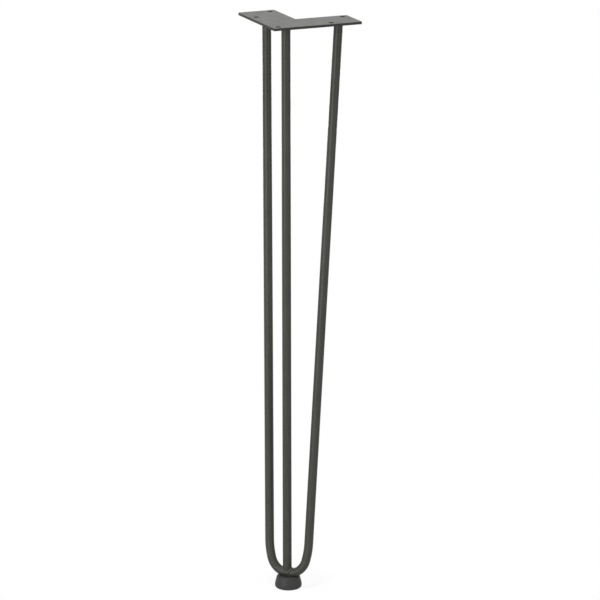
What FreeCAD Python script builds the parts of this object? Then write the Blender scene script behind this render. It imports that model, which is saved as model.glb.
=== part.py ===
import FreeCAD, Part
import math
import os
import Sketcher

# Hairpin table leg: an L-shaped mounting plate, a hairpin of bent rod, a third
# upright rod welded to the hairpin's bend, and a rubber foot under the bend.
# Millimetres. +Z is up, +X and +Y run along the plate's two arms. The origin is
# on the plate's top face, straight above the lowest point of the bend.

doc = FreeCAD.newDocument("hairpin_table_leg")
sheet = doc.addObject("Spreadsheet::Sheet", "Sizes")

# Driving dimensions: name, value, meaning
SIZES = [
    ("leg_height", 711, "top face of the plate to the floor"),
    ("plate_arm_length", 114.5, "outer edge of the plate, each arm"),
    ("plate_arm_width", 47.5, "width of each arm"),
    ("plate_thickness", 3.2, "thickness of the plate"),
    ("plate_corner_radius", 2, "radius of the plate's corners in plan"),
    ("plate_edge_round", 0.4, "rounding of the plate's top and bottom edges"),
    ("hole_diameter", 6.4, "screw holes"),
    ("hole_inset", 9, "hole centre to the nearest edges of the plate"),
    ("outer_hole_reach", 77.5, "outer corner to the outer hole, along an arm"),
    ("rod_diameter", 11.1, "diameter of all the rod"),
    ("leg_end_reach", 96.5, "outer corner to a hairpin end's centre, along its arm"),
    ("leg_end_inset", 30.3, "arm's outer edge to the hairpin end's centre"),
    ("bend_inset", 28.3, "both outer edges to the lowest point of the bend"),
    ("bend_radius", 23.4, "centreline radius of the bend"),
    ("bend_half_angle", 74.6, "turn of the tight bend to each side of its middle"),
    ("shoulder_radius", 102, "centreline radius between the bend and a straight leg"),
    ("upright_offset", 1.4, "upright rod's axis to the middle of the bend, sideways"),
    ("upright_lap", 3.6, "how far the upright rod's shaped end reaches below the bend's top"),
    ("foot_height", 15.5, "height of the rubber foot"),
    ("foot_seat_depth", 2.5, "depth of the groove that the bend sits in"),
    ("foot_diameter", 33.3, "widest diameter of the foot"),
    ("foot_top_diameter", 28.4, "diameter of the foot's top, before its rounding"),
    ("foot_rim_radius", 3.5, "rounding between the foot's side and its base"),
    ("foot_side_radius", 17.5, "curve between the rim and the straight flank, in section"),
    ("foot_top_round", 1.5, "rounding of the foot's top edge"),
    ("weld_leg", 1.6, "size of the weld beads"),
]
for row, (alias, value, meaning) in enumerate(SIZES, start=1):
    sheet.set(f"A{row}", meaning)
    sheet.set(f"B{row}", str(value))
    sheet.setAlias(f"B{row}", alias)
doc.recompute()

# Worked-out sizes, as formulas on the sheet

ROD_RADIUS = "Sizes.rod_diameter / 2"
HOLE_RADIUS = "Sizes.hole_diameter / 2"
# Height of the bend's lowest centreline point above the floor
BEND_HEIGHT = f"(Sizes.foot_height - Sizes.foot_seat_depth + {ROD_RADIUS})"
# The bend's lowest centreline point and the hairpin ends, in the part's frame
BEND_LOW_Z = f"({BEND_HEIGHT} - Sizes.leg_height)"
UNDERSIDE_Z = "(-Sizes.plate_thickness)"
LEG_END_FAR = "(Sizes.leg_end_reach - Sizes.bend_inset)"
LEG_END_NEAR = "(Sizes.leg_end_inset - Sizes.bend_inset)"
# The hairpin lies in one plane, which leans back along the plate's diagonal
LEAN_RISE = f"({UNDERSIDE_Z} - {BEND_LOW_Z})"
LEAN_RUN = f"(({LEG_END_FAR} + {LEG_END_NEAR}) / sqrt(2))"
LEAN = f"atan({LEAN_RUN} / {LEAN_RISE})"
HAIRPIN_LENGTH = f"sqrt({LEAN_RISE} ^ 2 + {LEAN_RUN} ^ 2)"
HALF_SPREAD = f"(({LEG_END_FAR} - {LEG_END_NEAR}) / sqrt(2))"
# The plate's diagonal, as a turn about the vertical
DIAGONAL_TURN = -45


def value_of(formula):
    """The number that a formula on the sheet gives now."""
    return float(sheet.evalExpression(formula))


def origin_plane(body, role):
    """One of a body's own origin planes, found by its role."""
    return next(plane for plane in body.Origin.OriginFeatures if plane.Role == role)


def new_body(label):
    """An empty body that carries the label of its sub-part."""
    body = doc.addObject("PartDesign::Body", label)
    body.Label = label
    return body


def new_sketch(body, name, role):
    """A sketch on one of the body's own origin planes."""
    sketch = body.newObject("Sketcher::SketchObject", name)
    sketch.AttachmentSupport = [(origin_plane(body, role), "")]
    sketch.MapMode = "FlatFace"
    return sketch


def bind(sketch, name, formula, kind, *places):
    """Add a dimension to a sketch and bind it to a formula on the sheet."""
    index = sketch.addConstraint(Sketcher.Constraint(kind, *places, value_of(formula)))
    sketch.renameConstraint(index, name)
    sketch.setExpression(f"Constraints.{name}", formula)


def relate(sketch, kind, *places):
    """Add a relation with no size of its own to a sketch."""
    sketch.addConstraint(Sketcher.Constraint(kind, *places))


# Names for the sketcher's point positions and fixed geometry
START, END, CENTRE = 1, 2, 3
ORIGIN = (-1, 1)
X_AXIS, Y_AXIS = -1, -2


def point(x, y):
    """A point in a sketch's plane."""
    return FreeCAD.Vector(x, y, 0)


def circle(centre, radius):
    """A circle in a sketch's plane."""
    return Part.Circle(centre, FreeCAD.Vector(0, 0, 1), radius)


def edges_where(shape, test):
    """Names of the edges of a shape that pass a test."""
    return [f"Edge{number}" for number, edge in enumerate(shape.Edges, start=1) if test(edge)]


# Mounting plate

def build_mounting_plate():
    """L-shaped plate with five screw holes, its top face at z = 0."""
    body = new_body("mounting_plate")
    body.setExpression("Placement.Base.x", "-Sizes.bend_inset")
    body.setExpression("Placement.Base.y", "-Sizes.bend_inset")

    length = value_of("Sizes.plate_arm_length")
    width = value_of("Sizes.plate_arm_width")
    outline = new_sketch(body, "PlateOutline", "XY_Plane")
    corners = [(0, 0), (length, 0), (length, width), (width, width), (width, length), (0, length)]
    for first, second in zip(corners, corners[1:] + corners[:1]):
        outline.addGeometry(Part.LineSegment(point(*first), point(*second)))
    for side in range(len(corners)):
        relate(outline, "Coincident", side, END, (side + 1) % len(corners), START)
        relate(outline, "Horizontal" if side % 2 == 0 else "Vertical", side)
    relate(outline, "Coincident", 0, START, *ORIGIN)
    bind(outline, "arm_length_x", "Sizes.plate_arm_length", "Distance", 0)
    bind(outline, "arm_width_x", "Sizes.plate_arm_width", "Distance", 1)
    bind(outline, "arm_width_y", "Sizes.plate_arm_width", "Distance", 4)
    bind(outline, "arm_length_y", "Sizes.plate_arm_length", "Distance", 5)

    near = "Sizes.hole_inset"
    reach = "Sizes.outer_hole_reach"
    far_end = "Sizes.plate_arm_length - Sizes.hole_inset"
    far_side = "Sizes.plate_arm_width - Sizes.hole_inset"
    holes = {
        "corner": (near, near),
        "outer_x": (reach, near),
        "outer_y": (near, reach),
        "inner_x": (far_end, far_side),
        "inner_y": (far_side, far_end),
    }
    for name, (along_x, along_y) in holes.items():
        centre = point(value_of(along_x), value_of(along_y))
        index = outline.addGeometry(circle(centre, value_of(HOLE_RADIUS)))
        bind(outline, f"{name}_hole_x", along_x, "DistanceX", *ORIGIN, index, CENTRE)
        bind(outline, f"{name}_hole_y", along_y, "DistanceY", *ORIGIN, index, CENTRE)
        bind(outline, f"{name}_hole_radius", HOLE_RADIUS, "Radius", index)

    slab = body.newObject("PartDesign::Pad", "PlateSlab")
    slab.Profile = outline
    slab.Reversed = True
    slab.setExpression("Length", "Sizes.plate_thickness")
    doc.recompute()

    corner_rounds = body.newObject("PartDesign::Fillet", "PlateCorners")
    upright_lines = edges_where(slab.Shape, lambda edge: isinstance(edge.Curve, Part.Line)
                                and abs(edge.tangentAt(edge.FirstParameter).z) > 0.5)
    corner_rounds.Base = (slab, upright_lines)
    corner_rounds.setExpression("Radius", "Sizes.plate_corner_radius")
    doc.recompute()

    edge_rounds = body.newObject("PartDesign::Fillet", "PlateEdges")
    level = edges_where(corner_rounds.Shape, lambda edge: edge.BoundBox.ZLength < 1e-6
                        and not (isinstance(edge.Curve, Part.Circle) and edge.isClosed()))
    edge_rounds.Base = (corner_rounds, level)
    edge_rounds.setExpression("Radius", "Sizes.plate_edge_round")
    body.Tip = edge_rounds
    return body


# Hairpin rod

def build_hairpin_rod():
    """Bent rod: half of it is swept from the middle of the bend, mirrored, and cut off
    level with the plate's underside. The body's own Z runs up the hairpin's plane."""
    body = new_body("hairpin_rod")
    lean_placement = f"placement(vector(0; 0; {BEND_LOW_Z}); rotation({DIAGONAL_TURN}; 0; -{LEAN}))"
    body.setExpression("Placement", lean_placement)

    bend_radius = value_of("Sizes.bend_radius")
    shoulder_radius = value_of("Sizes.shoulder_radius")
    turn = math.radians(value_of("Sizes.bend_half_angle"))
    half_spread = value_of(HALF_SPREAD)
    length = value_of(HAIRPIN_LENGTH)
    down = -math.pi / 2
    bend_end = point(bend_radius * math.sin(turn), bend_radius * (1 - math.cos(turn)))
    bend_centre = point(0, bend_radius)
    shoulder_centre = bend_end + (bend_centre - bend_end) * (shoulder_radius / bend_radius)
    leg_start = shoulder_centre + point(shoulder_radius, 0)

    path = new_sketch(body, "LegPath", "XZ_Plane")
    bend = path.addGeometry(Part.ArcOfCircle(circle(bend_centre, bend_radius), down, down + turn))
    shoulder = path.addGeometry(
        Part.ArcOfCircle(circle(shoulder_centre, shoulder_radius), down + turn, 0))
    leg = path.addGeometry(Part.LineSegment(leg_start, point(half_spread, length)))
    leg_end = path.addGeometry(Part.Point(point(half_spread, length)), True)
    relate(path, "Coincident", bend, START, *ORIGIN)
    relate(path, "PointOnObject", bend, CENTRE, Y_AXIS)
    bind(path, "bend_radius", "Sizes.bend_radius", "Radius", bend)
    bind(path, "bend_reach", "Sizes.bend_radius * sin(Sizes.bend_half_angle)",
         "DistanceX", *ORIGIN, bend, END)
    relate(path, "Tangent", bend, END, shoulder, START)
    bind(path, "shoulder_radius", "Sizes.shoulder_radius", "Radius", shoulder)
    relate(path, "Tangent", shoulder, END, leg, START)
    bind(path, "half_spread", HALF_SPREAD, "DistanceX", *ORIGIN, leg_end, START)
    bind(path, "hairpin_length", HAIRPIN_LENGTH, "DistanceY", *ORIGIN, leg_end, START)
    relate(path, "PointOnObject", leg_end, START, leg)
    bind(path, "rough_length", f"{HAIRPIN_LENGTH} + Sizes.rod_diameter",
         "DistanceY", *ORIGIN, leg, END)

    section = new_sketch(body, "RodSection", "YZ_Plane")
    ring = section.addGeometry(circle(point(0, 0), value_of(ROD_RADIUS)))
    relate(section, "Coincident", ring, CENTRE, *ORIGIN)
    bind(section, "rod_radius", ROD_RADIUS, "Radius", ring)
    doc.recompute()

    half = body.newObject("PartDesign::AdditivePipe", "HalfHairpin")
    half.Profile = section
    half.Spine = path
    half.Transition = "Transformed"
    doc.recompute()

    whole = body.newObject("PartDesign::Mirrored", "WholeHairpin")
    whole.Originals = [half]
    whole.MirrorPlane = (origin_plane(body, "YZ_Plane"), [""])
    body.Tip = whole
    doc.recompute()

    # The plate's underside, seen along the body's X, is a line that the lean tilts
    cut_half_width = "Sizes.rod_diameter"
    cut_rise = f"({cut_half_width} * tan({LEAN}))"
    cut_height = "(3 * Sizes.rod_diameter)"
    trim = new_sketch(body, "UndersideTrim", "YZ_Plane")
    low_left = point(-value_of(cut_half_width), length - value_of(cut_rise))
    low_right = point(value_of(cut_half_width), length + value_of(cut_rise))
    above = point(0, value_of(cut_height))
    outline = [low_left, low_right, low_right + above, low_left + above]
    for first, second in zip(outline, outline[1:] + outline[:1]):
        trim.addGeometry(Part.LineSegment(first, second))
    for side in range(len(outline)):
        relate(trim, "Coincident", side, END, (side + 1) % len(outline), START)
    relate(trim, "Vertical", 1)
    relate(trim, "Vertical", 3)
    relate(trim, "Parallel", 0, 2)
    bind(trim, "left_side", cut_half_width, "DistanceX", 0, START, *ORIGIN)
    bind(trim, "right_side", cut_half_width, "DistanceX", *ORIGIN, 0, END)
    bind(trim, "low_side", f"{HAIRPIN_LENGTH} - {cut_rise}", "DistanceY", *ORIGIN, 0, START)
    bind(trim, "high_side", f"{HAIRPIN_LENGTH} + {cut_rise}", "DistanceY", *ORIGIN, 0, END)
    bind(trim, "cut_height", cut_height, "Distance", 1)
    doc.recompute()

    rough_volume = whole.Shape.Volume
    level_ends = body.newObject("PartDesign::Pocket", "LevelEnds")
    level_ends.Profile = trim
    level_ends.Type = "ThroughAll"
    level_ends.Midplane = True
    body.Tip = level_ends
    doc.recompute()
    if level_ends.Shape.Volume >= rough_volume:
        raise RuntimeError("the hairpin's ends were not cut level")
    return body


# Upright rod

def upright_axis(feature, height_formula):
    """Put a feature's own Z axis on the upright rod's axis, at a height."""
    feature.setExpression("Placement.Base.x", "-Sizes.upright_offset / sqrt(2)")
    feature.setExpression("Placement.Base.y", "Sizes.upright_offset / sqrt(2)")
    feature.setExpression("Placement.Base.z", height_formula)


def cut_from(name, base, tool):
    """What is left of one object after another is cut from it."""
    rest = doc.addObject("Part::Cut", name)
    rest.Base = base
    rest.Tool = tool
    return rest


def build_upright_rod(hairpin):
    """Straight rod from the plate's underside, its lower end shaped over the bend."""
    bar = doc.addObject("Part::Cylinder", "UprightBar")
    bar.setExpression("Radius", ROD_RADIUS)
    lower_end = f"({BEND_LOW_Z} + {ROD_RADIUS} - Sizes.upright_lap)"
    upright_axis(bar, lower_end)
    bar.setExpression("Height", f"{UNDERSIDE_Z} - {lower_end}")
    return cut_from("upright_rod", bar, hairpin)


# Foot

def build_foot(hairpin):
    """Turned rubber foot whose top is grooved by the bend that sits in it."""
    blank = doc.addObject("PartDesign::Body", "FootBlank")
    blank.setExpression("Placement.Base.z", "-Sizes.leg_height")

    radius = value_of("Sizes.foot_diameter / 2")
    top_radius = value_of("Sizes.foot_top_diameter / 2")
    height = value_of("Sizes.foot_height")
    rim = value_of("Sizes.foot_rim_radius")
    side = value_of("Sizes.foot_side_radius")
    taper = math.atan((radius - top_radius) / (height - rim))
    side_end = point(radius - side * (1 - math.cos(taper)), rim + side * math.sin(taper))

    profile = new_sketch(blank, "FootProfile", "XZ_Plane")
    base = profile.addGeometry(Part.LineSegment(point(0, 0), point(radius - rim, 0)))
    lower = profile.addGeometry(
        Part.ArcOfCircle(circle(point(radius - rim, rim), rim), -math.pi / 2, 0))
    upper = profile.addGeometry(
        Part.ArcOfCircle(circle(point(radius - side, rim), side), 0, taper))
    flank = profile.addGeometry(Part.LineSegment(side_end, point(top_radius, height)))
    top = profile.addGeometry(Part.LineSegment(point(top_radius, height), point(0, height)))
    axis = profile.addGeometry(Part.LineSegment(point(0, height), point(0, 0)))
    relate(profile, "Coincident", base, START, *ORIGIN)
    relate(profile, "Horizontal", base)
    relate(profile, "Tangent", base, END, lower, START)
    relate(profile, "Tangent", lower, END, upper, START)
    relate(profile, "Tangent", upper, END, flank, START)
    relate(profile, "Coincident", flank, END, top, START)
    relate(profile, "Horizontal", top)
    relate(profile, "Coincident", top, END, axis, START)
    relate(profile, "Vertical", axis)
    relate(profile, "Coincident", axis, END, base, START)
    relate(profile, "Horizontal", lower, CENTRE, lower, END)
    bind(profile, "rim_radius", "Sizes.foot_rim_radius", "Radius", lower)
    bind(profile, "side_radius", "Sizes.foot_side_radius", "Radius", upper)
    bind(profile, "widest_radius", "Sizes.foot_diameter / 2", "DistanceX", *ORIGIN, lower, END)
    bind(profile, "top_radius", "Sizes.foot_top_diameter / 2", "DistanceX", *ORIGIN, flank, END)
    bind(profile, "foot_height", "Sizes.foot_height", "DistanceY", *ORIGIN, flank, END)

    turned = blank.newObject("PartDesign::Revolution", "FootTurned")
    turned.Profile = profile
    turned.ReferenceAxis = (profile, ["V_Axis"])
    turned.Angle = 360
    doc.recompute()

    top_edge = edges_where(turned.Shape, lambda edge: isinstance(edge.Curve, Part.Circle)
                           and abs(edge.BoundBox.ZMin - height) < 1e-6)
    rounded = blank.newObject("PartDesign::Fillet", "FootTopEdge")
    rounded.Base = (turned, top_edge)
    rounded.setExpression("Radius", "Sizes.foot_top_round")
    blank.Tip = rounded
    doc.recompute()
    return cut_from("foot", blank, hairpin)


# Welds

def build_plate_weld(name, rod, along_x, along_y):
    """Ring-shaped bead between the plate's underside and a rod."""
    ring = doc.addObject("Part::Cone", f"{name}_ring")
    ring.setExpression("Radius1", ROD_RADIUS)
    ring.setExpression("Radius2", f"{ROD_RADIUS} + Sizes.weld_leg")
    ring.setExpression("Height", "Sizes.weld_leg")
    ring.setExpression("Placement.Base.x", along_x)
    ring.setExpression("Placement.Base.y", along_y)
    ring.setExpression("Placement.Base.z", f"{UNDERSIDE_Z} - Sizes.weld_leg")
    return cut_from(name, ring, rod)


def build_bend_weld(hairpin, upright):
    """Bead that follows the joint between the upright rod's end and the bend: all that
    lies within the bead's size of both rods and inside neither."""
    around_upright = doc.addObject("Part::Cylinder", "AroundUpright")
    around_upright.setExpression("Radius", f"{ROD_RADIUS} + Sizes.weld_leg")
    around_upright.setExpression("Height", "Sizes.rod_diameter + Sizes.weld_leg")
    upright_axis(around_upright, BEND_LOW_Z)

    around_bend = doc.addObject("Part::Torus", "AroundBend")
    around_bend.setExpression("Radius1", "Sizes.bend_radius")
    around_bend.setExpression("Radius2", f"{ROD_RADIUS} + Sizes.weld_leg")
    centre_run = f"Sizes.bend_radius * sin({LEAN}) / sqrt(2)"
    centre_z = f"{BEND_LOW_Z} + Sizes.bend_radius * cos({LEAN})"
    around_bend.setExpression(
        "Placement",
        f"placement(vector({centre_run}; {centre_run}; {centre_z}); "
        f"rotation({DIAGONAL_TURN}; 0; 90 deg - {LEAN}))")

    both = doc.addObject("Part::Common", "BendWeldRough")
    both.Base = around_upright
    both.Tool = around_bend
    return cut_from("bend_weld", cut_from("BendWeldOverBend", both, hairpin), upright)


mounting_plate = build_mounting_plate()
hairpin_rod = build_hairpin_rod()
upright_rod = build_upright_rod(hairpin_rod)
foot = build_foot(hairpin_rod)
left_leg_weld = build_plate_weld("left_leg_weld", hairpin_rod, LEG_END_NEAR, LEG_END_FAR)
right_leg_weld = build_plate_weld("right_leg_weld", hairpin_rod, LEG_END_FAR, LEG_END_NEAR)
upright_weld = build_plate_weld("upright_weld", upright_rod, "-Sizes.upright_offset / sqrt(2)",
                                "Sizes.upright_offset / sqrt(2)")
bend_weld = build_bend_weld(hairpin_rod, upright_rod)
doc.recompute()

sub_parts = [mounting_plate, hairpin_rod, upright_rod, foot,
             left_leg_weld, right_leg_weld, upright_weld, bend_weld]

failed = [item.Name for item in doc.Objects if {"Invalid", "Error"} & set(item.State)]
if failed:
    raise RuntimeError(f"failed objects: {failed}")

os.makedirs("parts", exist_ok=True)
for sub_part in sub_parts:
    shape = sub_part.Shape
    if shape.isNull() or not shape.isValid() or len(shape.Solids) != 1:
        raise RuntimeError(f"{sub_part.Label} is not one valid solid")
    shape.exportStep(os.path.join("parts", f"{sub_part.Label}.step"))
    box = shape.BoundBox
    print(f"{sub_part.Label}: volume {shape.Volume:.1f} mm3, "
          f"x {box.XMin:.2f}..{box.XMax:.2f}, y {box.YMin:.2f}..{box.YMax:.2f}, "
          f"z {box.ZMin:.2f}..{box.ZMax:.2f}")
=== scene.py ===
"""Looks of the hairpin table leg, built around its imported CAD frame, in metres.

The leg is an L-shaped mounting plate, a hairpin of bent rod, an upright rod, the
weld beads between them and a rubber foot. Each has its own class below.
"""
import logging
import math
from dataclasses import dataclass, field
from enum import Enum

import bmesh
import bpy
from mathutils import Matrix, Vector


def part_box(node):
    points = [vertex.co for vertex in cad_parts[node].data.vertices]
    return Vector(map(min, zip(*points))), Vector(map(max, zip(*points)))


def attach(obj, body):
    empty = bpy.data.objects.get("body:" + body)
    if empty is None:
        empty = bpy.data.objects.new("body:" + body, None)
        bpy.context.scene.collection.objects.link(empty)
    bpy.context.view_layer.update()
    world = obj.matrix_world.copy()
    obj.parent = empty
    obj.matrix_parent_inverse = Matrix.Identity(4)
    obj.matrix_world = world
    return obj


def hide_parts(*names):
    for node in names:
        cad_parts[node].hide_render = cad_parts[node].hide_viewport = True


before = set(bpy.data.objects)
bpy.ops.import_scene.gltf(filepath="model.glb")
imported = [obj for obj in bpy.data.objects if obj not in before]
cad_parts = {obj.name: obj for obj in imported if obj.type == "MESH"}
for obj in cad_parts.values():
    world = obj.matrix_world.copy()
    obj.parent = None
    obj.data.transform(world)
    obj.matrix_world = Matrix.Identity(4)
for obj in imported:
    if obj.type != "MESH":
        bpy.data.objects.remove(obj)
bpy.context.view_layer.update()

MM = 0.001
BODY = "root"
ROD_SPACE = "rod_space"
WHITE = (1.0, 1.0, 1.0, 1.0)
# A noise mostly keeps between its low and its high value, about its middle
NOISE_LOW, NOISE_MIDDLE, NOISE_HIGH = 0.3, 0.5, 0.7
# About the mean height of a row of half waves
WAVE_MIDDLE = 0.6
# Vertices closer together than this are one, in a finished mesh and at a turned body's poles
SAME_VERTEX = 1e-7
SAME_POLE = 1e-6

# What a node's input takes: another node's output, or a value
InputValue = bpy.types.NodeSocket | bpy.types.ID | tuple | str | float

log = logging.getLogger("hairpin_leg")


class Slot(Enum):
    """The record's material slots."""

    STEEL = "coated_steel"
    RUBBER = "foot_rubber"


class Pattern(Enum):
    """Where a finish takes the coordinates of its pattern from."""

    ALONG_ROD = "the rod's own space: across, across, along"
    UPRIGHT = "object coordinates, with the grain upright"
    ROLLED = "object coordinates, with the grain along the right arm"


# Node trees

class Sketch:
    """A node tree under construction, with short calls that add and link its nodes."""

    def __init__(self, tree: bpy.types.NodeTree) -> None:
        """Keep the tree.

        Args:
            tree: an empty geometry or shader node tree.
        """
        self.tree = tree

    def add(self, kind: str, settings: dict[str, str | bpy.types.ID] | None = None,
            **inputs: InputValue) -> bpy.types.Node:
        """Add a node, set it up and feed its inputs.

        Args:
            kind: the node's type name.
            settings: properties of the node, set before its inputs.
            inputs: values or output sockets, by the input's name with _ for a space,
                or by _0, _1 and so on for the input at that place.

        Returns:
            The new node.
        """
        node = self.tree.nodes.new(kind)
        for name, value in (settings or {}).items():
            setattr(node, name, value)
        for name, value in inputs.items():
            key = int(name[1:]) if name.startswith("_") else name.replace("_", " ")
            self.feed(node.inputs[key], value)
        return node

    def feed(self, socket: bpy.types.NodeSocket, value: InputValue) -> None:
        """Link an output socket to an input socket, or set the input's value.

        Args:
            socket: the input.
            value: an output socket, or a plain value.
        """
        if isinstance(value, bpy.types.NodeSocket):
            self.tree.links.new(value, socket)
        else:
            socket.default_value = value

    def math(self, operation: str, first: InputValue, second: InputValue = 0.0) -> bpy.types.NodeSocket:
        """Add a Math node.

        Args:
            operation: the node's operation.
            first: its first value or socket.
            second: its second value or socket.

        Returns:
            The node's result.
        """
        return self.add("ShaderNodeMath", {"operation": operation}, _0=first, _1=second).outputs[0]

    def swing(self, noise: bpy.types.NodeSocket, middle: float, reach: float) -> bpy.types.NodeSocket:
        """Turn a noise into a value that swings about a middle one.

        Args:
            noise: the noise's output.
            middle: the middle value.
            reach: how far the value swings to each side, where the noise is low or high.

        Returns:
            The value.
        """
        spread = self.add("ShaderNodeMapRange", Value=noise, From_Min=NOISE_LOW, From_Max=NOISE_HIGH,
                          To_Min=middle - reach, To_Max=middle + reach)
        return spread.outputs[0]


class GeometrySketch(Sketch):
    """A geometry node tree with one geometry input and a material input."""

    def __init__(self, name: str, geometry: str, **sizes: str) -> None:
        """Start the tree and its interface.

        Args:
            name: the tree's name.
            geometry: name of the geometry input.
            sizes: the other inputs, each with its socket type, with _ for a space.
        """
        super().__init__(bpy.data.node_groups.new(name, "GeometryNodeTree"))
        face = self.tree.interface
        face.new_socket(geometry, in_out="INPUT", socket_type="NodeSocketGeometry")
        for size, kind in sizes.items():
            face.new_socket(size.replace("_", " "), in_out="INPUT", socket_type=f"NodeSocket{kind}")
        face.new_socket("Material", in_out="INPUT", socket_type="NodeSocketMaterial")
        face.new_socket("Geometry", in_out="OUTPUT", socket_type="NodeSocketGeometry")
        self.given = self.add("NodeGroupInput").outputs

    def capture(self, kind: str, label: str, geometry: bpy.types.NodeSocket,
                value: bpy.types.NodeSocket) -> bpy.types.Node:
        """Keep a value on a geometry, for use after other nodes have reshaped it.

        Args:
            kind: the value's data type.
            label: the value's name.
            geometry: the geometry that keeps it.
            value: the value.

        Returns:
            The node, whose outputs are called Geometry and as the label says.
        """
        node = self.add("GeometryNodeCaptureAttribute")
        node.capture_items.new(kind, label)
        self.feed(node.inputs["Geometry"], geometry)
        self.feed(node.inputs[label], value)
        return node

    def finish(self, mesh: bpy.types.NodeSocket, crease: float) -> bpy.types.GeometryNodeTree:
        """End the tree: smooth faces, creases at sharp angles, real geometry, material.

        Args:
            mesh: the mesh so far.
            crease: angle in radians above which an edge is sharp.

        Returns:
            The finished tree.
        """
        smooth = self.add("GeometryNodeSetShadeSmooth", Geometry=mesh, Shade_Smooth=True)
        angle = self.add("GeometryNodeInputMeshEdgeAngle").outputs["Unsigned Angle"]
        gentle = self.add("FunctionNodeCompare", {"data_type": "FLOAT", "operation": "LESS_THAN"},
                          _0=angle, _1=crease).outputs["Result"]
        edges = self.add("GeometryNodeSetShadeSmooth", {"domain": "EDGE"},
                         Geometry=smooth.outputs[0], Shade_Smooth=gentle)
        real = self.add("GeometryNodeRealizeInstances", Geometry=edges.outputs[0])
        dressed = self.add("GeometryNodeSetMaterial", Geometry=real.outputs[0],
                           Material=self.given["Material"])
        self.add("NodeGroupOutput", Geometry=dressed.outputs[0])
        return self.tree


def apply_tree(target: bpy.types.Object, tree: bpy.types.GeometryNodeTree,
               **values: InputValue) -> None:
    """Put a geometry node tree on an object and set its inputs by identifier.

    Args:
        target: the object that carries the tree's geometry input.
        tree: the tree.
        values: the inputs' values, by name with _ for a space.
    """
    modifier = target.modifiers.new(tree.name, "NODES")
    modifier.node_group = tree
    for item in tree.interface.items_tree:
        name = item.name.replace(" ", "_")
        if item.in_out == "INPUT" and name in values:
            modifier[item.identifier] = values[name]


def swept_rod_tree() -> bpy.types.GeometryNodeTree:
    """Make the tree that sweeps a round rod along a path and gives it a space of its own.

    Returns:
        The tree.
    """
    sketch = GeometrySketch("swept_rod", "Path", Rod_Radius="Float", Facets="Int")
    given = sketch.given
    run = sketch.add("GeometryNodeSplineParameter").outputs["Length"]
    path = sketch.capture("FLOAT", "Run", given["Path"], run)
    circle = sketch.add("GeometryNodeCurvePrimitiveCircle", Resolution=given["Facets"],
                        Radius=given["Rod Radius"]).outputs["Curve"]
    place = sketch.add("GeometryNodeInputPosition").outputs[0]
    section = sketch.capture("VECTOR", "Across", circle, place)
    swept = sketch.add("GeometryNodeCurveToMesh", Curve=path.outputs["Geometry"],
                       Profile_Curve=section.outputs["Geometry"], Fill_Caps=True)
    across = sketch.add("ShaderNodeSeparateXYZ", Vector=section.outputs["Across"])
    space = sketch.add("ShaderNodeCombineXYZ", X=across.outputs["X"], Y=across.outputs["Y"],
                       Z=path.outputs["Run"])
    stored = sketch.add("GeometryNodeStoreNamedAttribute", {"data_type": "FLOAT_VECTOR"},
                        Geometry=swept.outputs[0], Name=ROD_SPACE, Value=space.outputs[0])
    return sketch.finish(stored.outputs[0], crease=math.radians(40))


def seat_cut_tree() -> bpy.types.GeometryNodeTree:
    """Make the tree that cuts another piece's shape out of a mesh, where the two fit together.

    Returns:
        The tree.
    """
    sketch = GeometrySketch("seat_cut", "Mesh", Seated_Piece="Object")
    given = sketch.given
    tool = sketch.add("GeometryNodeObjectInfo", {"transform_space": "RELATIVE"},
                      Object=given["Seated Piece"])
    cut = sketch.add("GeometryNodeMeshBoolean", {"operation": "DIFFERENCE", "solver": "EXACT"})
    sketch.feed(cut.inputs["Mesh 1"], given["Mesh"])
    sketch.feed(cut.inputs["Mesh 2"], tool.outputs["Geometry"])
    return sketch.finish(cut.outputs["Mesh"], crease=math.radians(30))


def weld_bead_tree() -> bpy.types.GeometryNodeTree:
    """Make the tree that lays a round bead with ripples and uneven lumps along a closed path.

    Returns:
        The tree.
    """
    sketch = GeometrySketch("weld_bead", "Path", Bead_Radius="Float", Ripples="Int", Samples="Int",
                            Ripple_Depth="Float", Grain_Scale="Float", Lump_Height="Float",
                            Lump_Scale="Float", Facets="Int", Seed="Float")
    given = sketch.given
    fine = sketch.add("GeometryNodeResampleCurve", Curve=given["Path"], Count=given["Samples"])
    factor = sketch.add("GeometryNodeSplineParameter").outputs["Factor"]
    path = sketch.capture("FLOAT", "Run", fine.outputs[0], factor)
    circle = sketch.add("GeometryNodeCurvePrimitiveCircle", Resolution=given["Facets"],
                        Radius=given["Bead Radius"]).outputs["Curve"]
    swept = sketch.add("GeometryNodeCurveToMesh", Curve=path.outputs["Geometry"],
                       Profile_Curve=circle, Fill_Caps=False).outputs[0]
    phase = sketch.math("MULTIPLY", path.outputs["Run"], given["Ripples"])
    wave = sketch.math("ABSOLUTE", sketch.math("SINE", sketch.math("MULTIPLY", phase, math.pi)))
    grain, lump = [sketch.add("ShaderNodeTexNoise", {"noise_dimensions": "4D"}, W=given["Seed"],
                              Scale=given[scale], Detail=detail).outputs[0]
                   for scale, detail in (("Grain Scale", 2.0), ("Lump Scale", 0.0))]
    swell = sketch.math("ADD", sketch.math("SUBTRACT", wave, WAVE_MIDDLE), grain)
    ripples = sketch.math("MULTIPLY", sketch.math("SUBTRACT", swell, NOISE_MIDDLE), given["Ripple Depth"])
    lumps = sketch.math("MULTIPLY", sketch.math("SUBTRACT", lump, NOISE_MIDDLE), given["Lump Height"])
    rise = sketch.math("ADD", ripples, lumps)
    normal = sketch.add("GeometryNodeInputNormal").outputs[0]
    offset = sketch.add("ShaderNodeVectorMath", {"operation": "SCALE"}, Vector=normal, Scale=rise)
    laid = sketch.add("GeometryNodeSetPosition", Geometry=swept, Offset=offset.outputs[0])
    return sketch.finish(laid.outputs[0], crease=math.radians(60))


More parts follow.
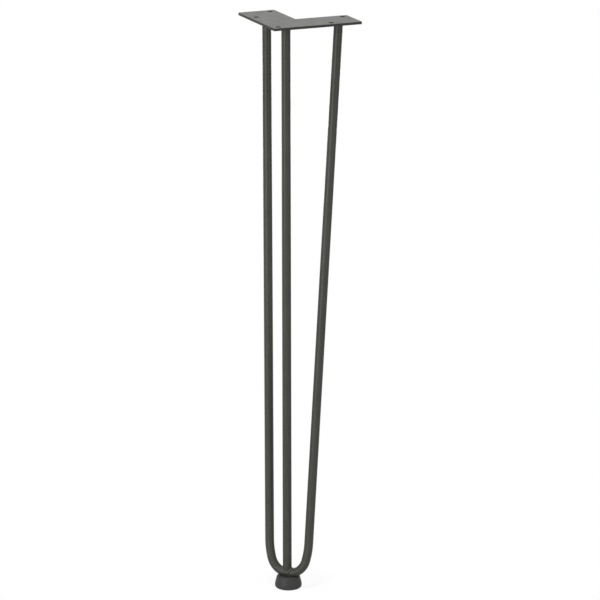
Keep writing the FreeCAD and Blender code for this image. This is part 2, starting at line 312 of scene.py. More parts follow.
def turned_tree() -> bpy.types.GeometryNodeTree:
    """Make the tree that turns a profile, drawn in the XZ plane, about the Z axis.

    Returns:
        The tree.
    """
    sketch = GeometrySketch("turned_body", "Profile", Segments="Int", Rings="Int")
    given = sketch.given
    columns = sketch.math("ADD", given["Segments"], 1.0)
    # The grid's X runs once round the axis and its Y along the profile, both from -0.5 to 0.5
    grid = sketch.add("GeometryNodeMeshGrid", Size_X=1.0, Size_Y=1.0, Vertices_X=columns,
                      Vertices_Y=given["Rings"]).outputs["Mesh"]
    place = sketch.add("ShaderNodeSeparateXYZ", Vector=sketch.add("GeometryNodeInputPosition").outputs[0])
    turn = sketch.math("MULTIPLY", sketch.math("ADD", place.outputs["X"], 0.5), math.tau)
    factor = sketch.math("ADD", place.outputs["Y"], 0.5)
    drawn = sketch.add("GeometryNodeSampleCurve", {"mode": "FACTOR"}, Curves=given["Profile"],
                       Factor=factor)
    ring = sketch.add("ShaderNodeSeparateXYZ", Vector=drawn.outputs["Position"])
    reach = ring.outputs["X"]
    spun = sketch.add("ShaderNodeCombineXYZ",
                      X=sketch.math("MULTIPLY", reach, sketch.math("COSINE", turn)),
                      Y=sketch.math("MULTIPLY", reach, sketch.math("SINE", turn)),
                      Z=ring.outputs["Z"])
    turned = sketch.add("GeometryNodeSetPosition", Geometry=grid, Position=spun.outputs[0])
    closed = sketch.add("GeometryNodeMergeByDistance", Geometry=turned.outputs[0], Distance=SAME_POLE)
    return sketch.finish(closed.outputs[0], crease=math.radians(50))


# Effects that more than one finish uses

class EffectSketch(Sketch):
    """A shader node group with named inputs and outputs."""

    def __init__(self, name: str, inputs: dict[str, tuple[str, float | None]],
                 outputs: dict[str, str]) -> None:
        """Start the group and its interface.

        Args:
            name: the group's name.
            inputs: each input's socket type and start value.
            outputs: each output's socket type.
        """
        super().__init__(bpy.data.node_groups.new(name, "ShaderNodeTree"))
        face = self.tree.interface
        for label, (kind, value) in inputs.items():
            socket = face.new_socket(label, in_out="INPUT", socket_type=f"NodeSocket{kind}")
            if value is not None:
                socket.default_value = value
        for label, kind in outputs.items():
            face.new_socket(label, in_out="OUTPUT", socket_type=f"NodeSocket{kind}")
        self.given = self.add("NodeGroupInput").outputs


def drawn_streaks_group() -> bpy.types.ShaderNodeTree:
    """Make the group of long faint streaks, as drawing through a die leaves on rod.

    Returns:
        The group. Its Stretch says how many times as long as wide a streak is.
    """
    sketch = EffectSketch("drawn_streaks",
                          {"Vector": ("Vector", None), "Width": ("Float", 0.8 * MM),
                           "Stretch": ("Float", 60.0)},
                          {"Streak": "Float"})
    across = sketch.math("DIVIDE", 1.0, sketch.given["Width"])
    along = sketch.math("DIVIDE", across, sketch.given["Stretch"])
    scale = sketch.add("ShaderNodeCombineXYZ", X=across, Y=across, Z=along).outputs[0]
    space = sketch.add("ShaderNodeVectorMath", {"operation": "MULTIPLY"},
                       _0=sketch.given["Vector"], _1=scale).outputs[0]
    noise = sketch.add("ShaderNodeTexNoise", Vector=space, Scale=1.0, Detail=3.0, Roughness=0.6)
    sketch.add("NodeGroupOutput", Streak=noise.outputs[0])
    return sketch.tree


def surface_grain_group() -> bpy.types.ShaderNodeTree:
    """Make the group of a sprayed or moulded skin's fine pebble and its mottling.

    Returns:
        The group. Its Pebble and Mottle are the sizes of one grain of each.
    """
    sketch = EffectSketch("surface_grain",
                          {"Vector": ("Vector", None), "Pebble": ("Float", None),
                           "Mottle": ("Float", 14 * MM)},
                          {"Height": "Float", "Mottling": "Float"})
    pebble = sketch.add("ShaderNodeTexNoise", Vector=sketch.given["Vector"],
                        Scale=sketch.math("DIVIDE", 1.0, sketch.given["Pebble"]), Detail=2.0)
    mottle = sketch.add("ShaderNodeTexNoise", Vector=sketch.given["Vector"],
                        Scale=sketch.math("DIVIDE", 1.0, sketch.given["Mottle"]), Detail=4.0)
    sketch.add("NodeGroupOutput", Height=pebble.outputs[0], Mottling=mottle.outputs[0])
    return sketch.tree


@dataclass(frozen=True)
class Finish:
    """A skin of one colour with grain, mottling and streaks of its own strength.

    Mottling and streaks are shares of the colour, and roughness_swing goes with the mottling.
    """

    name: str
    slot: Slot
    pattern: Pattern
    colour: tuple[float, float, float]
    roughness: float
    specular: float
    pebble: float
    pebble_height: float
    mottling: float
    streaks: float
    roughness_swing: float = 0.04

    def coordinates(self, sketch: Sketch) -> bpy.types.NodeSocket:
        """Add the nodes that give the pattern its coordinates.

        Args:
            sketch: the material's tree.

        Returns:
            The coordinates, with the grain along their Z.
        """
        if self.pattern is Pattern.ALONG_ROD:
            return sketch.add("ShaderNodeAttribute", {"attribute_name": ROD_SPACE}).outputs["Vector"]
        own = sketch.add("ShaderNodeTexCoord").outputs["Object"]
        if self.pattern is Pattern.UPRIGHT:
            return own
        place = sketch.add("ShaderNodeSeparateXYZ", Vector=own).outputs
        return sketch.add("ShaderNodeCombineXYZ", X=place["Y"], Y=place["Z"], Z=place["X"]).outputs[0]

    def material(self, grain: bpy.types.ShaderNodeTree,
                 streak: bpy.types.ShaderNodeTree) -> bpy.types.Material:
        """Build the finish as a material.

        Args:
            grain: the group of the pebble and the mottling.
            streak: the group of the streaks.

        Returns:
            The material.
        """
        made = bpy.data.materials.new(self.name)
        made.use_nodes = True
        made.node_tree.nodes.clear()
        sketch = Sketch(made.node_tree)
        source = self.coordinates(sketch)
        skin = sketch.add("ShaderNodeGroup", {"node_tree": grain}, Vector=source, Pebble=self.pebble)
        lines = sketch.add("ShaderNodeGroup", {"node_tree": streak}, Vector=source)
        mottle = sketch.swing(skin.outputs["Mottling"], 1.0, self.mottling)
        drawn = sketch.swing(lines.outputs["Streak"], 1.0, self.streaks)
        tone = sketch.math("MULTIPLY", mottle, drawn)
        colour = sketch.add("ShaderNodeVectorMath", {"operation": "SCALE"}, _0=self.colour, Scale=tone)
        rough = sketch.swing(skin.outputs["Mottling"], self.roughness, self.roughness_swing)
        bump = sketch.add("ShaderNodeBump", Strength=1.0, Distance=self.pebble_height,
                          Height=skin.outputs["Height"])
        shader = sketch.add("ShaderNodeBsdfPrincipled", Base_Color=colour.outputs[0],
                            Roughness=rough, Normal=bump.outputs[0])
        shader.inputs["Specular IOR Level"].default_value = self.specular
        sketch.add("ShaderNodeOutputMaterial", Surface=shader.outputs[0])
        return made


ROD_COAT = Finish(
    "rod_coat", Slot.STEEL, Pattern.ALONG_ROD, colour=(0.047, 0.0475, 0.0415),
    roughness=0.34, specular=0.20, pebble=0.45 * MM, pebble_height=0.012 * MM,
    mottling=0.06, streaks=0.20)
PLATE_COAT = Finish(
    "plate_coat", Slot.STEEL, Pattern.ROLLED, colour=(0.043, 0.0445, 0.036),
    roughness=0.38, specular=0.40, pebble=0.45 * MM, pebble_height=0.015 * MM,
    mottling=0.08, streaks=0.10)
# Darker than the plate coat, for the plate's edge faces: painted shade on the plate's upright sides and hole
# walls
PAINTED_EDGE_SHADE = Finish(
    "cut_edge", Slot.STEEL, Pattern.UPRIGHT, colour=(0.022, 0.022, 0.020),
    roughness=0.50, specular=0.25, pebble=0.45 * MM, pebble_height=0.020 * MM,
    mottling=0.08, streaks=0.25)
# A little lighter than the rod coat: a painted highlight along the weld beads
BEAD_COAT_WITH_HIGHLIGHT = Finish(
    "bead_coat", Slot.STEEL, Pattern.UPRIGHT, colour=(0.052, 0.0525, 0.0465),
    roughness=0.30, specular=0.25, pebble=0.40 * MM, pebble_height=0.015 * MM,
    mottling=0.12, streaks=0.0)
FOOT_RUBBER = Finish(
    "foot_rubber", Slot.RUBBER, Pattern.UPRIGHT, colour=(0.031, 0.031, 0.031),
    roughness=0.55, specular=0.25, pebble=0.30 * MM, pebble_height=0.010 * MM,
    mottling=0.05, streaks=0.0)


class Workshop:
    """The node trees and materials that all the sub-assemblies share, each built once."""

    def __init__(self) -> None:
        """Build the trees and the finishes."""
        self.swept_rod = swept_rod_tree()
        self.seat_cut = seat_cut_tree()
        self.weld_bead = weld_bead_tree()
        self.turned = turned_tree()
        grain = surface_grain_group()
        streak = drawn_streaks_group()
        finishes = (ROD_COAT, PLATE_COAT, PAINTED_EDGE_SHADE, BEAD_COAT_WITH_HIGHLIGHT, FOOT_RUBBER)
        self.materials = {finish.name: finish.material(grain, streak) for finish in finishes}


# Lines and pieces

def arc(centre: Vector, radius: float, start: float, end: float, step: float) -> list[tuple[float, float]]:
    """Points on an arc in a plane.

    Args:
        centre: the arc's centre.
        radius: its radius.
        start: angle of its first point, in radians.
        end: angle of its last point.
        step: largest angle from one point to the next.

    Returns:
        The points, first and last included.
    """
    pieces = max(1, math.ceil(abs(end - start) / step))
    angles = [start + (end - start) * count / pieces for count in range(pieces + 1)]
    return [(centre.x + radius * math.cos(angle), centre.y + radius * math.sin(angle)) for angle in angles]


def with_neighbours(line: list[Vector]) -> list[tuple[Vector, Vector, Vector]]:
    """Each point of a closed line, between the point before it and the point after it."""
    return list(zip(line[-1:] + line[:-1], line, line[1:] + line[:1]))


def eased(line: list[Vector], passes: int) -> list[Vector]:
    """Round the corners of a closed line, as a torch that is moved by hand does.

    Args:
        line: the line's points, evenly spaced.
        passes: how often each point moves towards its two neighbours.

    Returns:
        The eased line.
    """
    for _ in range(passes):
        line = [(before + here * 2 + after) / 4 for before, here, after in with_neighbours(line)]
    return line


def add_line(curve: bpy.types.Curve, points: list[Vector], closed: bool) -> None:
    """Add a line of straight runs to a curve.

    Args:
        curve: the curve.
        points: the line's points, in order.
        closed: whether the last point joins the first.
    """
    spline = curve.splines.new("POLY")
    spline.points.add(len(points) - 1)
    for target, place in zip(spline.points, points):
        target.co = (*place, 1.0)
    spline.use_cyclic_u = closed


def poly_curve(name: str, points: list[Vector], closed: bool = False) -> bpy.types.Object:
    """Make a curve object of straight runs.

    Args:
        name: the object's name.
        points: the curve's points, in order.
        closed: whether the last point joins the first.

    Returns:
        The curve object.
    """
    curve = bpy.data.curves.new(name, "CURVE")
    curve.dimensions = "3D"
    add_line(curve, points, closed)
    return link_object(name, curve)


def link_object(name: str, data: bpy.types.ID) -> bpy.types.Object:
    """Make an object in the scene's collection.

    Args:
        name: the object's name.
        data: its mesh, curve, light or camera.

    Returns:
        The object.
    """
    made = bpy.data.objects.new(name, data)
    bpy.context.scene.collection.objects.link(made)
    return made


def as_mesh_object(source: bpy.types.Object, name: str) -> bpy.types.Object:
    """Turn an object with its modifiers into a plain mesh object, and delete it.

    Args:
        source: the object with live modifiers.
        name: name of the new object.

    Returns:
        The plain mesh object, at the origin.
    """
    evaluated = source.evaluated_get(bpy.context.evaluated_depsgraph_get())
    mesh = bpy.data.meshes.new_from_object(evaluated)
    bpy.data.objects.remove(source)
    mesh.name = name
    return link_object(name, mesh)


def outward(piece: bpy.types.Object) -> None:
    """Merge a closed mesh's doubles and point its faces outwards.

    Args:
        piece: the mesh object.
    """
    work = bmesh.new()
    work.from_mesh(piece.data)
    bmesh.ops.remove_doubles(work, verts=work.verts, dist=SAME_VERTEX)
    bmesh.ops.recalc_face_normals(work, faces=work.faces)
    work.to_mesh(piece.data)
    work.free()


def hand_over(piece: bpy.types.Object, finish: Finish, node: str) -> bpy.types.Object:
    """Hang a finished piece on the leg's body, hide the CAD node that it replaces and log its finish.

    Args:
        piece: the finished mesh object.
        finish: its finish.
        node: the CAD node that it replaces.

    Returns:
        The piece.
    """
    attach(piece, BODY)
    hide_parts(node)
    log.info("%s: %d faces, finish %s", piece.name, len(piece.data.polygons), finish.name)
    return piece


# Sub-assemblies

@dataclass
class HairpinRod:
    """The bent rod: a tight bend, a gentle shoulder at each side and two straight legs."""

    rod_radius: float = 5.55 * MM
    bend_radius: float = 23.4 * MM
    bend_half_angle: float = math.radians(74.6)
    shoulder_radius: float = 102 * MM
    leg_end_far: float = 68.2 * MM
    leg_end_near: float = 2.0 * MM
    end_sink: float = 1.0 * MM
    arc_step: float = math.radians(3)
    leg_step: float = 20 * MM
    facets: int = 72
    underside: float = field(default_factory=lambda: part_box("mounting_plate")[0][2])
    bend_low: float = field(init=False)
    lean: float = field(init=False)

    def __post_init__(self) -> None:
        """Work out the bend's height and the hairpin's lean."""
        self.bend_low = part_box("hairpin_rod")[0][2] + self.rod_radius
        run = (self.leg_end_far + self.leg_end_near) / math.sqrt(2)
        self.lean = math.atan2(run, self.underside - self.bend_low)

    def to_leg(self, across: float, up: float) -> Vector:
        """Turn a place in the hairpin's own plane into one in the leg's frame.

        Args:
            across: sideways from the middle of the bend, towards the right leg.
            up: up the plane from the lowest point of the bend.

        Returns:
            The place in the leg's frame.
        """
        run = up * math.sin(self.lean)
        return Vector(((across + run) / math.sqrt(2), (run - across) / math.sqrt(2),
                       self.bend_low + up * math.cos(self.lean)))

    def half_line(self) -> list[tuple[float, float]]:
        """Draw the centreline from the middle of the bend to the right end.

        Returns:
            Its points in the hairpin's plane: across and up.
        """
        half_spread = (self.leg_end_far - self.leg_end_near) / math.sqrt(2)
        height = (self.underside - self.bend_low) / math.cos(self.lean)
        down = -math.pi / 2
        turn = self.bend_half_angle
        bend_end = Vector((self.bend_radius * math.sin(turn), self.bend_radius * (1 - math.cos(turn))))
        bend_centre = Vector((0, self.bend_radius))
        shoulder_centre = bend_end + (bend_centre - bend_end) * (self.shoulder_radius / self.bend_radius)
        # The straight leg leaves the shoulder where the tangent points at the rod's end
        to_end = Vector((half_spread, height)) - shoulder_centre
        leave = math.atan2(to_end.y, to_end.x) - math.acos(self.shoulder_radius / to_end.length)
        line = arc(bend_centre, self.bend_radius, down, down + turn, self.arc_step)
        line += arc(shoulder_centre, self.shoulder_radius, down + turn, leave, self.arc_step)[1:]
        start = Vector(line[-1])
        leg = Vector((half_spread, height)) - start
        runs = max(1, round(leg.length / self.leg_step))
        reach = leg * (1 + self.end_sink / leg.length)
        line += [tuple(start + reach * (step / runs)) for step in range(1, runs + 1)]
        return line

    def build(self, shop: Workshop) -> bpy.types.Object:
        """Sweep the rod along its centreline.

        Args:
            shop: the shared trees and materials.

        Returns:
            The finished rod.
        """
        right = self.half_line()
        left = [(-across, up) for across, up in reversed(right[1:])]
        path = poly_curve("hairpin_path", [self.to_leg(*place) for place in left + right])
        apply_tree(path, shop.swept_rod, Rod_Radius=self.rod_radius, Facets=self.facets,
                   Material=shop.materials[ROD_COAT.name])
        piece = as_mesh_object(path, "bent_hairpin_rod")
        return hand_over(piece, ROD_COAT, "hairpin_rod")

    def distance(self, place: Vector) -> float:
        """Distance from a place near the bend to the bend's centreline.

        Args:
            place: a place in the leg's frame.

        Returns:
            The distance, in metres.
        """
        centre = self.to_leg(0, self.bend_radius)
        across = Vector((1, -1, 0)).normalized()
        up = (centre - self.to_leg(0, 0)).normalized()
        gap = place - centre
        in_plane = math.hypot(gap.dot(across), gap.dot(up))
        return math.hypot(in_plane - self.bend_radius, gap.dot(across.cross(up)))


@dataclass
class UprightRod:
    """The straight rod from the plate's corner down to the bend, shaped over it."""

    hairpin: HairpinRod
    offset: float = 1.4 * MM
    lap: float = 3.6 * MM
    run_step: float = 20 * MM
    halvings: int = 30

    @property
    def axis(self) -> Vector:
        """Where the rod's axis stands, in plan."""
        aside = self.offset / math.sqrt(2)
        return Vector((-aside, aside, 0))

    @property
    def lower_end(self) -> float:
        """Height of the tips of the shaped end."""
        return self.hairpin.bend_low + self.hairpin.rod_radius - self.lap

    def build(self, shop: Workshop, bend: bpy.types.Object) -> bpy.types.Object:
        """Sweep the rod and shape its lower end over the bend.

        Args:
            shop: the shared trees and materials.
            bend: the finished hairpin rod.

        Returns:
            The finished rod.
        """
        top = self.hairpin.underside + self.hairpin.end_sink
        runs = round((top - self.lower_end) / self.run_step)
        heights = [self.lower_end + (top - self.lower_end) * step / runs for step in range(runs + 1)]
        path = poly_curve("upright_path", [self.axis + Vector((0, 0, height)) for height in heights])
        material = shop.materials[ROD_COAT.name]
        apply_tree(path, shop.swept_rod, Rod_Radius=self.hairpin.rod_radius,
                   Facets=self.hairpin.facets, Material=material)
        apply_tree(path, shop.seat_cut, Seated_Piece=bend, Material=material)
        piece = as_mesh_object(path, "coped_upright_rod")
        return hand_over(piece, ROD_COAT, "upright_rod")

    def joint_line(self, clear: float, points: int = 96) -> list[Vector]:
        """Find the line on the bend's surface round the shaped end.

        Args:
            clear: how far the line stands off the rod's surface.
            points: how many points the line has.

        Returns:
            The line's points.
        """
        radius = self.hairpin.rod_radius + clear
        line = []
        for count in range(points):
            angle = math.tau * count / points
            place = self.axis + Vector((radius * math.cos(angle), radius * math.sin(angle), 0))
            low = self.lower_end
            high = self.lower_end + 2 * radius
            # Halve the range of heights again and again, and keep the half with the surface in it
            for _ in range(self.halvings):
                middle = (low + high) / 2
                inside = self.hairpin.distance(Vector((place.x, place.y, middle))) < self.hairpin.rod_radius
                low, high = (middle, high) if inside else (low, middle)
            line.append(Vector((place.x, place.y, low)))
        return line


@dataclass
class WeldBeads:
    """The beads between the rods and the plate, and between the upright rod and the bend.

    The leg is the bead's size under the plate, where its inset and radius are shares of it.
    """

    hairpin: HairpinRod
    upright: UprightRod
    leg: float = 1.6 * MM
    ring_inset: float = 0.35
    ring_radius: float = 0.65
    saddle_radius: float = 1.6 * MM
    saddle_clear: float = 0.45 * MM
    saddle_easing: int = 10
    saddle_seed: int = 9
    ripple: float = 0.9 * MM
    ripple_depth: float = 0.10 * MM
    ripple_samples: int = 10
    grain: float = 1.5 * MM
    lump: float = 5 * MM
    lump_height: float = 0.8 * MM
    facets: int = 20

    def lay(self, shop: Workshop, node: str, line: list[Vector], radius: float,
            seed: int) -> bpy.types.Object:
        """Lay one bead along a closed line.

        Args:
            shop: the shared trees and materials.
            node: the CAD node that the bead stands for.
            line: the closed line along its middle.
            radius: the bead's radius.
            seed: seed of its unevenness.

        Returns:
            The finished bead.
        """
        length = sum((after - here).length for _, here, after in with_neighbours(line))
        ripples = round(length / self.ripple)
        path = poly_curve(f"{node}_path", line, closed=True)
        apply_tree(path, shop.weld_bead, Bead_Radius=radius, Ripples=ripples,
                   Samples=ripples * self.ripple_samples, Ripple_Depth=self.ripple_depth,
                   Grain_Scale=1 / self.grain, Lump_Height=self.lump_height,
                   Lump_Scale=1 / self.lump, Facets=self.facets, Seed=float(seed),
                   Material=shop.materials[BEAD_COAT_WITH_HIGHLIGHT.name])
        piece = as_mesh_object(path, f"rippled_{node}")
        return hand_over(piece, BEAD_COAT_WITH_HIGHLIGHT, node)

    def ring(self, centre: Vector, points: int = 72) -> list[Vector]:
        """Draw the middle line of a bead round a rod, under the plate.

        Args:
            centre: the rod's axis at the plate's underside.
            points: how many points the line has.

        Returns:
            The line's points.
        """
        inset = self.leg * self.ring_inset
        reach = self.hairpin.rod_radius + inset
        turns = [math.tau * count / points for count in range(points)]
        return [centre + Vector((reach * math.cos(turn), reach * math.sin(turn), -inset)) for turn in turns]

    def build(self, shop: Workshop) -> list[bpy.types.Object]:
        """Lay all the beads.

        Args:
            shop: the shared trees and materials.

        Returns:
            The finished beads.
        """
        far, near, level = self.hairpin.leg_end_far, self.hairpin.leg_end_near, self.hairpin.underside
        places = {
            "right_leg_weld": Vector((far, near, level)),
            "left_leg_weld": Vector((near, far, level)),
            "upright_weld": self.upright.axis + Vector((0, 0, level)),
        }
        beads = [self.lay(shop, node, self.ring(centre), self.leg * self.ring_radius, seed)
                 for seed, (node, centre) in enumerate(places.items(), start=1)]
        saddle = eased(self.upright.joint_line(self.saddle_clear), self.saddle_easing)
        beads.append(self.lay(shop, "bend_weld", saddle, self.saddle_radius, self.saddle_seed))
        return beads


@dataclass
class MountingPlate:
    """The L-shaped plate with its screw holes.

    A face whose normal's upright part is smaller than edge_tilt gets the darker edge colour, painted shade
    on the plate's sides.
    """

    corner: Vector = field(default_factory=lambda: Vector(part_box("mounting_plate")[0]))
    far_corner: Vector = field(default_factory=lambda: Vector(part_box("mounting_plate")[1]))
    arm_width: float = 47.5 * MM
    corner_radius: float = 2 * MM
    corner_step: float = math.radians(10)
    edge_round: float = 0.4 * MM
    edge_strips: int = 4
    edge_tilt: float = math.sin(math.radians(50))
    hole_radius: float = 3.2 * MM
    hole_inset: float = 9 * MM
    outer_hole_reach: float = 77.5 * MM
    hole_facets: int = 64

    def outline(self) -> list[Vector]:
        """Draw the plate's outline with its rounded corners.

        Returns:
            Its points, from the plate's outer corner.
        """
        length = self.far_corner.x - self.corner.x
        width = self.arm_width
        corners = [(0, 0), (length, 0), (length, width), (width, width), (width, length), (0, length)]
        line = []
        for before, here, after in with_neighbours([Vector(corner) for corner in corners]):
            back = (before - here).normalized()
            ahead = (after - here).normalized()
            centre = here + (back + ahead) * self.corner_radius
            start = math.atan2(-ahead.y, -ahead.x)
            turn = math.radians(90) * (1 if (-back).cross(ahead) > 0 else -1)
            line += arc(centre, self.corner_radius, start, start + turn, self.corner_step)
        return [Vector((*place, 0)) for place in line]

    def holes(self) -> list[Vector]:
        """Place the screw holes.

        Returns:
            Their centres, from the plate's outer corner.
        """
        near, reach = self.hole_inset, self.outer_hole_reach
        far_end = self.far_corner.x - self.corner.x - near
        far_side = self.arm_width - near
        places = [(near, near), (reach, near), (near, reach), (far_end, far_side), (far_side, far_end)]
        return [Vector(place) for place in places]

    def build(self, shop: Workshop) -> bpy.types.Object:
        """Fill the outline round its holes, give it thickness and round its edges.

        Args:
            shop: the shared trees and materials.

        Returns:
            The finished plate.
        """
        curve = bpy.data.curves.new("plate_outline", "CURVE")
        curve.dimensions = "2D"
        curve.fill_mode = "BOTH"
        add_line(curve, self.outline(), closed=True)
        for centre in self.holes():
            ring = arc(centre, self.hole_radius, 0, math.tau, math.tau / self.hole_facets)[:-1]
            add_line(curve, [Vector((*place, 0)) for place in ring], closed=True)
        thickness = self.far_corner.z - self.corner.z
        # Rounding grows the plate, so its outline and its thickness are first drawn in by as much
        curve.offset = -self.edge_round
        curve.bevel_depth = self.edge_round
        curve.bevel_resolution = self.edge_strips
        curve.extrude = thickness / 2 - self.edge_round
        curve.materials.append(shop.materials[PLATE_COAT.name])
        piece = as_mesh_object(link_object("plate_outline", curve), "l_mounting_plate")
        middle = Vector((self.corner.x, self.corner.y, self.far_corner.z - thickness / 2))
        piece.data.transform(Matrix.Translation(middle))
        outward(piece)
        # The upright faces take the darker colour: painted shade on the plate's sides and hole walls
        piece.data.materials.append(shop.materials[PAINTED_EDGE_SHADE.name])
        for face in piece.data.polygons:
            face.material_index = int(abs(face.normal.z) < self.edge_tilt)
        return hand_over(piece, PLATE_COAT, "mounting_plate")


@dataclass
class RubberFoot:
    """The turned rubber foot, grooved by the bend that sits in its top."""

    floor: float = field(default_factory=lambda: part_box("foot")[0][2])
    height: float = 15.5 * MM
    radius: float = 16.65 * MM
    top_radius: float = 14.2 * MM
    rim_radius: float = 3.5 * MM
    rim_step: float = math.radians(5)
    side_radius: float = 17.5 * MM
    side_step: float = math.radians(2)
    top_round: float = 1.5 * MM
    top_step: float = math.radians(8)
    segments: int = 128
    rings: int = 140

    def profile(self) -> list[tuple[float, float]]:
        """Draw the foot's outline from the middle of its base to the middle of its top.

        Returns:
            Its points: out from the axis and up from the base.
        """
        taper = math.atan((self.radius - self.top_radius) / (self.height - self.rim_radius))
        line = [(0.0, 0.0)]
        rim_centre = Vector((self.radius - self.rim_radius, self.rim_radius))
        line += arc(rim_centre, self.rim_radius, -math.pi / 2, 0, self.rim_step)
        side_centre = Vector((self.radius - self.side_radius, self.rim_radius))
        line += arc(side_centre, self.side_radius, 0, taper, self.side_step)[1:]
        side_end = Vector(line[-1])
        flank = Vector((self.top_radius, self.height)) - side_end
        lean = math.atan2(-flank.x, flank.y)
        # The top's rounding touches flank and top this far from the corner where they would meet
        set_back = self.top_round * math.tan((math.pi / 2 - lean) / 2)
        top_centre = Vector((self.top_radius - set_back, self.height - self.top_round))
        line += arc(top_centre, self.top_round, lean, math.pi / 2, self.top_step)
        line.append((0.0, self.height))
        return line

    def build(self, shop: Workshop, bend: bpy.types.Object) -> bpy.types.Object:
        """Turn the foot and cut the bend's groove into it.

        Args:
            shop: the shared trees and materials.
            bend: the finished hairpin rod.

        Returns:
            The finished foot.
        """
        line = [Vector((reach, 0, self.floor + up)) for reach, up in self.profile()]
        path = poly_curve("foot_profile", line)
        material = shop.materials[FOOT_RUBBER.name]
        apply_tree(path, shop.turned, Segments=self.segments, Rings=self.rings, Material=material)
        turned = as_mesh_object(path, "turned_foot")
        outward(turned)
        apply_tree(turned, shop.seat_cut, Seated_Piece=bend, Material=material)
        piece = as_mesh_object(turned, "grooved_rubber_foot")
        outward(piece)
        return hand_over(piece, FOOT_RUBBER, "foot")


# Studio

@dataclass(frozen=True)
class SoftBox:
    """A rectangular studio lamp, placed round the leg from where the camera stands.

    Its share is the part of full light that it gives a surface at its aim that faces it.
    """

    name: str
    turn: float
    reach: float
    rise: float
    width: float
    tall: float
    share: float

    def build(self, aim: Vector, towards_camera: float) -> None:
        """Set the lamp up and point it at the leg.

        Args:
            aim: the place that it points at.
            towards_camera: heading from the leg to the camera, in radians.
        """
        heading = towards_camera + self.turn
        place = aim + Vector((math.cos(heading) * self.reach, math.sin(heading) * self.reach, self.rise))
        data = bpy.data.lights.new(self.name, "AREA")
        data.shape = "RECTANGLE"
        data.size = self.width
        data.size_y = self.tall
        data.energy = self.share * math.pi ** 2 * (place - aim).length_squared
        lamp = link_object(self.name, data)
        lamp.rotation_mode = "QUATERNION"
        lamp.location = place
        lamp.rotation_quaternion = (aim - place).to_track_quat("-Z", "Y")
        lamp.visible_camera = False


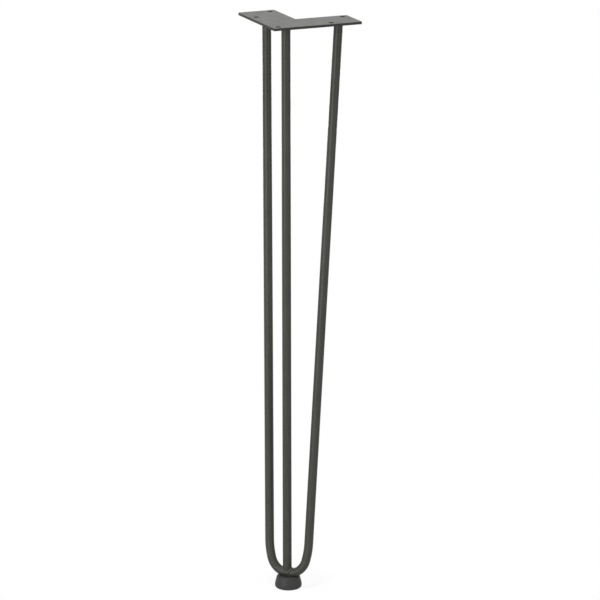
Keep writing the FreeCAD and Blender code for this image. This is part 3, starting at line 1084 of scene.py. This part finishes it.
@dataclass
class Studio:
    """The camera at the photograph's angle, the pale floor, the lamps and the world."""

    camera_place: Vector = field(default_factory=lambda: Vector((-1.7928, -4.2723, 0.8800)))
    heading: float = 0.40056
    pitch: float = 0.2580
    roll: float = -0.0017
    focal_pixels: float = 3935.28
    frame_pixels: float = 600
    sensor: float = 36.0
    nearest: float = 0.05
    farthest: float = 60
    floor_reach: float = 14.0
    floor_facets: int = 96
    floor_gap: float = 0.05 * MM
    floor_tone: float = 0.75
    shadow_share: float = 0.08
    shadow_reach: float = 0.09
    fill: float = 0.28
    lamp_aim: tuple[float, float] = (0.02, 0.02)
    boxes: tuple[SoftBox, ...] = (
        SoftBox("key_softbox", math.radians(-39), reach=2.20, rise=0.20, width=0.84, tall=2.4, share=0.82),
        SoftBox("side_softbox", math.radians(47), reach=2.20, rise=0.20, width=0.29, tall=2.4, share=0.17),
        SoftBox("top_softbox", math.radians(-20), reach=0.70, rise=2.6, width=0.5, tall=0.5, share=0.66),
        SoftBox("back_softbox", math.radians(180), reach=2.20, rise=-0.24, width=1.60, tall=0.3, share=0.22),
    )

    def camera(self) -> None:
        """Place the camera and give it the photograph's field of view."""
        ahead = Vector((math.sin(self.heading) * math.cos(self.pitch),
                        math.cos(self.heading) * math.cos(self.pitch), -math.sin(self.pitch)))
        level = Vector((math.cos(self.heading), -math.sin(self.heading), 0))
        upward = level.cross(ahead)
        right = level * math.cos(self.roll) + upward * math.sin(self.roll)
        top = upward * math.cos(self.roll) - level * math.sin(self.roll)
        data = bpy.data.cameras.new("photo_camera")
        data.sensor_fit = "AUTO"
        data.sensor_width = self.sensor
        data.lens = self.focal_pixels / self.frame_pixels * self.sensor
        data.clip_start = self.nearest
        data.clip_end = self.farthest
        camera = link_object("photo_camera", data)
        turn = Matrix((right, top, -ahead)).transposed().to_4x4()
        camera.matrix_world = Matrix.Translation(self.camera_place) @ turn
        bpy.context.scene.camera = camera

    def seen(self, sketch: Sketch) -> bpy.types.NodeSocket:
        """Add the test for rays that see the background.

        Args:
            sketch: the shader tree.

        Returns:
            1 for camera, glossy and transmission rays, 0 for others.
        """
        path = sketch.add("ShaderNodeLightPath").outputs
        mirror = sketch.math("MAXIMUM", path["Is Glossy Ray"], path["Is Transmission Ray"])
        return sketch.math("MAXIMUM", path["Is Camera Ray"], mirror)

    def world(self) -> None:
        """Give the world a white background and a plain even fill."""
        world = bpy.data.worlds.new("studio_world")
        bpy.context.scene.world = world
        world.use_nodes = True
        world.node_tree.nodes.clear()
        sketch = Sketch(world.node_tree)
        background = sketch.add("ShaderNodeBackground", Color=WHITE, Strength=1.0)
        fill = sketch.add("ShaderNodeBackground", Color=WHITE, Strength=self.fill)
        mixed = sketch.add("ShaderNodeMixShader", _0=self.seen(sketch), _1=fill.outputs[0],
                           _2=background.outputs[0])
        sketch.add("ShaderNodeOutputWorld", Surface=mixed.outputs[0])

    def floor_material(self) -> bpy.types.Material:
        """Make the floor's paint: pale, white where it is seen, faintly shaded by the foot.

        Returns:
            The material, which can't be seen from below.
        """
        material = bpy.data.materials.new("studio_floor")
        material.use_nodes = True
        material.node_tree.nodes.clear()
        sketch = Sketch(material.node_tree)
        place = sketch.add("ShaderNodeTexCoord").outputs["Object"]
        plan = sketch.add("ShaderNodeVectorMath", {"operation": "MULTIPLY"}, _0=place, _1=(1, 1, 0))
        reach = sketch.add("ShaderNodeVectorMath", {"operation": "LENGTH"}, _0=plan.outputs[0])
        fade = sketch.add("ShaderNodeMapRange", {"interpolation_type": "SMOOTHSTEP"},
                          Value=reach.outputs["Value"], From_Min=self.shadow_reach / 2,
                          From_Max=self.shadow_reach, To_Min=self.shadow_share, To_Max=0.0)
        white = sketch.add("ShaderNodeEmission", Color=WHITE, Strength=1.0)
        lit = sketch.add("ShaderNodeBsdfDiffuse", Color=WHITE)
        shown = sketch.add("ShaderNodeMixShader", _0=fade.outputs[0], _1=white.outputs[0],
                           _2=lit.outputs[0])
        pale = sketch.add("ShaderNodeBsdfDiffuse", Color=(*[self.floor_tone] * 3, 1))
        mixed = sketch.add("ShaderNodeMixShader", _0=self.seen(sketch), _1=pale.outputs[0],
                           _2=shown.outputs[0])
        clear = sketch.add("ShaderNodeBsdfTransparent")
        below = sketch.add("ShaderNodeNewGeometry").outputs["Backfacing"]
        sided = sketch.add("ShaderNodeMixShader", _0=below, _1=mixed.outputs[0], _2=clear.outputs[0])
        sketch.add("ShaderNodeOutputMaterial", Surface=sided.outputs[0])
        return material

    def floor(self) -> None:
        """Lay the floor just under the foot."""
        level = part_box("foot")[0][2] - self.floor_gap
        work = bmesh.new()
        bmesh.ops.create_circle(work, cap_ends=True, segments=self.floor_facets, radius=self.floor_reach,
                                matrix=Matrix.Translation((0, 0, level)))
        mesh = bpy.data.meshes.new("studio_floor")
        work.to_mesh(mesh)
        work.free()
        mesh.materials.append(self.floor_material())
        link_object("studio_floor", mesh)

    def build(self) -> None:
        """Set up the whole studio."""
        self.camera()
        self.world()
        self.floor()
        aim = Vector((*self.lamp_aim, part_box("foot")[0][2] / 2))
        back = self.camera_place - aim
        for box in self.boxes:
            box.build(aim, math.atan2(back.y, back.x))
        bpy.context.scene.view_settings.view_transform = "Standard"


def main() -> None:
    """Build every sub-assembly in order, then the studio."""
    logging.basicConfig(level=logging.INFO, format="%(name)s: %(message)s")
    shop = Workshop()
    hairpin = HairpinRod()
    bend = hairpin.build(shop)
    upright = UprightRod(hairpin)
    upright.build(shop, bend)
    MountingPlate().build(shop)
    WeldBeads(hairpin, upright).build(shop)
    RubberFoot().build(shop, bend)
    Studio().build()


if __name__ == "__main__":
    main()
